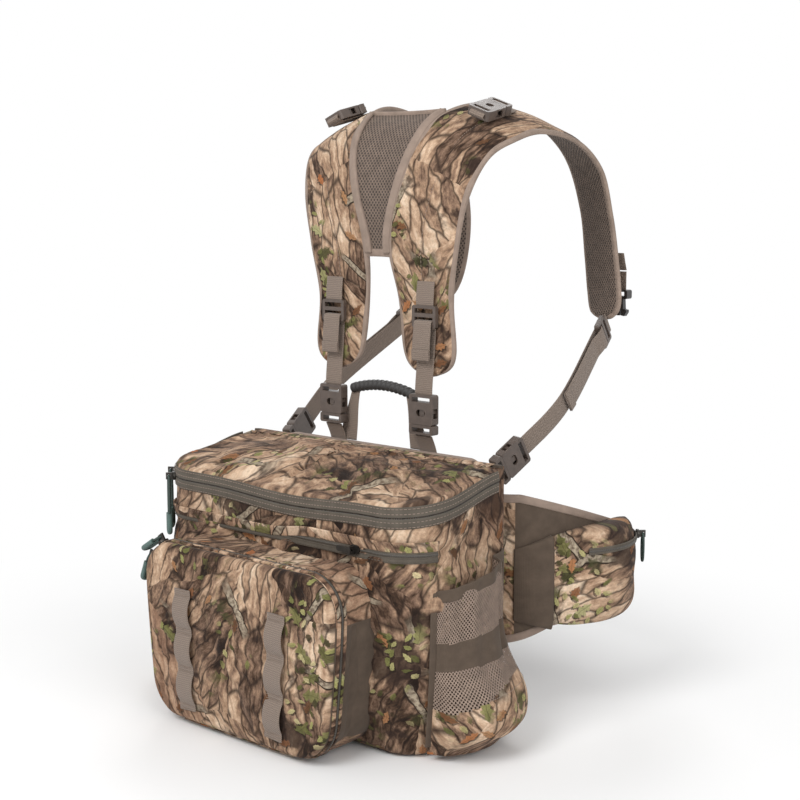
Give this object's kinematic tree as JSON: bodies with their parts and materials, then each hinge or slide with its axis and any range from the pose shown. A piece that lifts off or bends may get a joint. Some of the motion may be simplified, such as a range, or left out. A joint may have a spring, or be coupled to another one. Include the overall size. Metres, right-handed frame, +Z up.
{
  "type": "hunting waist pack with shoulder harness",
  "caption": "Large hunting waist pack in woodland camouflage with front pocket, mesh side pockets, belt pouches and a padded shoulder harness.",
  "frame": {"origin": "the middle of the main bag's flat base, level with it", "axes": "+Z up, +Y the way the wearer faces, +X the wearer's right"},
  "size_m": [0.5216, 0.5226, 0.6839],
  "materials": {
    "camo_fabric": null,
    "gusset_fabric": "plain brown woven polyester",
    "padded_fabric": "foam padding covered in plain brown fabric and spacer mesh",
    "mesh_fabric": "open knitted mesh with plain binding",
    "webbing": "woven nylon webbing",
    "zip": "coil zip on woven tape",
    "buckle_plastic": "moulded acetal, satin",
    "dark_plastic": "moulded acetal, satin, near black",
    "stiffener": "polyethylene sheet",
    "grip_rubber": "ribbed soft rubber",
    "slider_metal": "dark coated cast slider",
    "pull_cord": "braided cord",
    "pull_grip": "moulded soft plastic"
  },
  "bodies": {
    "pack": {"bag_shell": "camo_fabric", "back_pad": "padded_fabric", "frame_sheet": "stiffener", "front_pocket_gusset": "gusset_fabric", "zip_chains": "zip", "bottle_pocket_right": "mesh_fabric", "bottle_pocket_left": "mesh_fabric", "belt_wing_right": "padded_fabric", "belt_wing_left": "padded_fabric", "belt_pouch_right": "camo_fabric", "belt_pouch_left": "camo_fabric", "belt_web_right": "webbing", "belt_web_left": "webbing", "belt_socket": "buckle_plastic", "shoulder_pad_right": "camo_fabric", "shoulder_pad_left": "camo_fabric", "yoke_mesh": "mesh_fabric", "ladder_locks": "buckle_plastic", "strap_plugs": "buckle_plastic", "strap_tabs": "webbing", "top_sockets": "buckle_plastic", "rear_strap_right": "webbing", "rear_strap_left": "webbing", "side_strap_right": "webbing", "side_strap_left": "webbing"},
    "lid": {"lid": "camo_fabric", "main_zip_upper": "zip"},
    "front_panel": {"front_panel": "camo_fabric", "daisy_chains": "webbing"},
    "handle": {"handle_grip": "grip_rubber", "handle_legs": "webbing"},
    "rear_socket_right": {"rear_socket_right": "buckle_plastic"},
    "rear_socket_left": {"rear_socket_left": "buckle_plastic"},
    "side_socket_right": {"side_socket_right": "buckle_plastic"},
    "side_socket_left": {"side_socket_left": "buckle_plastic"},
    "top_plug_right": {"top_plug_right": "buckle_plastic"},
    "top_plug_left": {"top_plug_left": "buckle_plastic"},
    "belt_plug": {"belt_plug": "buckle_plastic"},
    "sternum_right": {"sternum_web_right": "webbing", "sternum_plug": "dark_plastic"},
    "sternum_left": {"sternum_web_left": "webbing", "sternum_socket": "dark_plastic"},
    "main_slider_rear": {"main_slider_rear": "slider_metal"},
    "main_slider_front": {"main_slider_front": "slider_metal"},
    "main_pull_rear": {"main_pull_cord_rear": "pull_cord", "main_pull_grip_rear": "pull_grip"},
    "main_pull_front": {"main_pull_cord_front": "pull_cord", "main_pull_grip_front": "pull_grip"},
    "front_slider_side": {"front_slider_side": "slider_metal"},
    "front_slider_top": {"front_slider_top": "slider_metal"},
    "front_pull_side": {"front_pull_cord_side": "pull_cord", "front_pull_grip_side": "pull_grip"},
    "front_pull_top": {"front_pull_cord_top": "pull_cord", "front_pull_grip_top": "pull_grip"},
    "slash_slider": {"slash_slider": "slider_metal"},
    "pouch_slider_right": {"pouch_slider_right": "slider_metal"},
    "pouch_slider_left": {"pouch_slider_left": "slider_metal"},
    "pouch_pull_right": {"pouch_pull_cord_right": "pull_cord"},
    "pouch_pull_left": {"pouch_pull_cord_left": "pull_cord"}
  },
  "joints": [
    {"name": "lid_hinge", "type": "hinge", "parent": "pack", "child": "lid", "pos_m": [0, 0.0685, 0.291], "axis": [-1, 0, 0], "range_deg": [0, 90]},
    {"name": "front_panel_hinge", "type": "hinge", "parent": "pack", "child": "front_panel", "pos_m": [0, -0.1385, 0.006], "axis": [1, 0, 0], "range_deg": [0, 80]},
    {"name": "handle_swing", "type": "hinge", "parent": "pack", "child": "handle", "pos_m": [0, 0.0925, 0.2913], "axis": [-1, 0, 0], "range_deg": [0, 75]},
    {"name": "rear_buckle_right", "type": "slide", "parent": "pack", "child": "rear_socket_right", "axis": [0, 0, 1], "range_m": [0, 0.026], "deforming": ["rear_strap_right"]},
    {"name": "side_buckle_right", "type": "slide", "parent": "pack", "child": "side_socket_right", "axis": [0.1698, 0.8276, 0.535], "range_m": [0, 0.026], "deforming": ["side_strap_right"]},
    {"name": "top_buckle_right", "type": "slide", "parent": "pack", "child": "top_plug_right", "axis": [0, 0.9753, 0.2208], "range_m": [0, 0.024]},
    {"name": "rear_buckle_left", "type": "slide", "parent": "pack", "child": "rear_socket_left", "axis": [0, 0, 1], "range_m": [0, 0.026], "deforming": ["rear_strap_left"]},
    {"name": "side_buckle_left", "type": "slide", "parent": "pack", "child": "side_socket_left", "axis": [-0.1698, 0.8276, 0.535], "range_m": [0, 0.026], "deforming": ["side_strap_left"]},
    {"name": "top_buckle_left", "type": "slide", "parent": "pack", "child": "top_plug_left", "axis": [0, 0.9753, 0.2208], "range_m": [0, 0.024]},
    {"name": "belt_buckle", "type": "slide", "parent": "pack", "child": "belt_plug", "axis": [-1, 0, 0], "range_m": [0, 0.026]},
    {"name": "sternum_swing_right", "type": "hinge", "parent": "pack", "child": "sternum_right", "pos_m": [0.146, 0.35849, 0.484], "axis": [1, 0, 0], "range_deg": [0, 70]},
    {"name": "sternum_swing_left", "type": "hinge", "parent": "pack", "child": "sternum_left", "pos_m": [-0.146, 0.35849, 0.484], "axis": [1, 0, 0], "range_deg": [0, 70]},
    {"name": "main_zip_rear_slider", "type": "hinge", "parent": "pack", "child": "main_slider_rear", "pos_m": [-0.143, -0.028, 0.26104], "axis": [0, -0.1154, 0.9933], "range_deg": [-32, 0]},
    {"name": "main_zip_front_slider", "type": "hinge", "parent": "pack", "child": "main_slider_front", "pos_m": [-0.143, -0.028, 0.26104], "axis": [0, -0.1154, 0.9933], "range_deg": [0, 34]},
    {"name": "main_pull_rear_swing", "type": "hinge", "parent": "main_slider_rear", "child": "main_pull_rear", "pos_m": [-0.19549, -0.0608, 0.25768], "axis": [-0.5299, 0.848, 0], "range_deg": [0, 90]},
    {"name": "main_pull_front_swing", "type": "hinge", "parent": "main_slider_front", "child": "main_pull_front", "pos_m": [-0.17761, -0.07932, 0.25579], "axis": [-0.829, 0.5592, 0], "range_deg": [0, 90]},
    {"name": "front_zip_side_slider", "type": "hinge", "parent": "pack", "child": "front_slider_side", "pos_m": [-0.1025, -0.13, 0.16], "axis": [0, -1, 0], "range_deg": [0, 22]},
    {"name": "front_zip_top_slider", "type": "hinge", "parent": "pack", "child": "front_slider_top", "pos_m": [-0.1025, -0.13, 0.16], "axis": [0, 1, 0], "range_deg": [0, 36]},
    {"name": "front_pull_side_swing", "type": "hinge", "parent": "front_slider_side", "child": "front_pull_side", "pos_m": [-0.14877, -0.13, 0.17869], "axis": [0, 1, 0], "range_deg": [0, 50]},
    {"name": "front_pull_top_swing", "type": "hinge", "parent": "front_slider_top", "child": "front_pull_top", "pos_m": [-0.13183, -0.13, 0.20037], "axis": [0, 1, 0], "range_deg": [0, 60]},
    {"name": "slash_zip_slider", "type": "slide", "parent": "pack", "child": "slash_slider", "axis": [-1, 0, 0], "range_m": [0, 0.255]},
    {"name": "pouch_zip_slider_right", "type": "hinge", "parent": "pack", "child": "pouch_slider_right", "pos_m": [0.1741, 0.20287, 0.191], "axis": [0, 0, -1], "range_deg": [0, 72]},
    {"name": "pouch_zip_slider_left", "type": "hinge", "parent": "pack", "child": "pouch_slider_left", "pos_m": [-0.1741, 0.20287, 0.191], "axis": [0, 0, 1], "range_deg": [0, 72]},
    {"name": "pouch_pull_swing_right", "type": "hinge", "parent": "pouch_slider_right", "child": "pouch_pull_right", "pos_m": [0.24215, 0.26859, 0.191], "axis": [0.6947, -0.7193, 0], "range_deg": [0, 90]},
    {"name": "pouch_pull_swing_left", "type": "hinge", "parent": "pouch_slider_left", "child": "pouch_pull_left", "pos_m": [-0.24215, 0.26859, 0.191], "axis": [0.6947, 0.7193, 0], "range_deg": [0, 90]}
  ]
}
